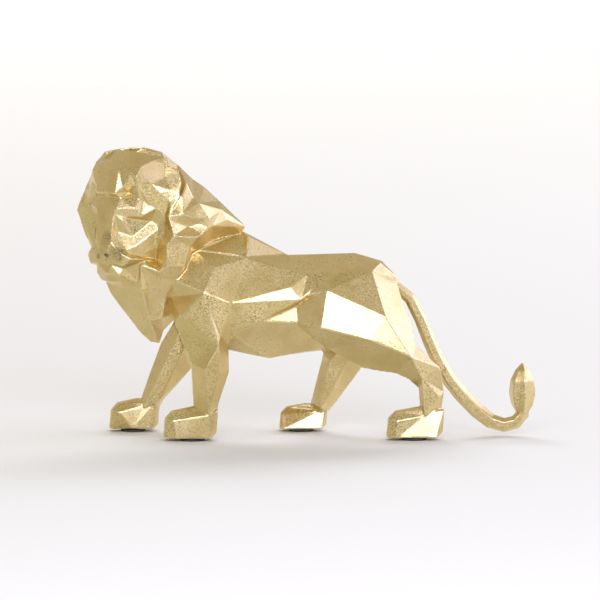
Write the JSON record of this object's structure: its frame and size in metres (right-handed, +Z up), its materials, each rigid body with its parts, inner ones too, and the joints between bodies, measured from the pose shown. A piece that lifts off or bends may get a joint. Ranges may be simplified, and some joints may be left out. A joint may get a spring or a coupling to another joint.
{
  "type": "lion figurine",
  "caption": "Walking lion figurine in flat facets with a full mane, head turned to its left, gold painted, on round pads.",
  "frame": {"origin": "centre of the bounding box's bottom, on the surface that the pads stand on", "axes": "+X runs along the body from the head to the tail, +Y to the lion's right side, +Z up"},
  "size_m": [0.368, 0.0848, 0.2331],
  "materials": {
    "gold": "metallic gold paint on cast resin, satin, with fine dark specks",
    "pad": "matt dark grey"
  },
  "bodies": {
    "root": {"lion": "gold", "left_front_pad": "pad", "left_hind_pad": "pad", "right_front_pad": "pad", "right_hind_pad": "pad"}
  },
  "joints": []
}
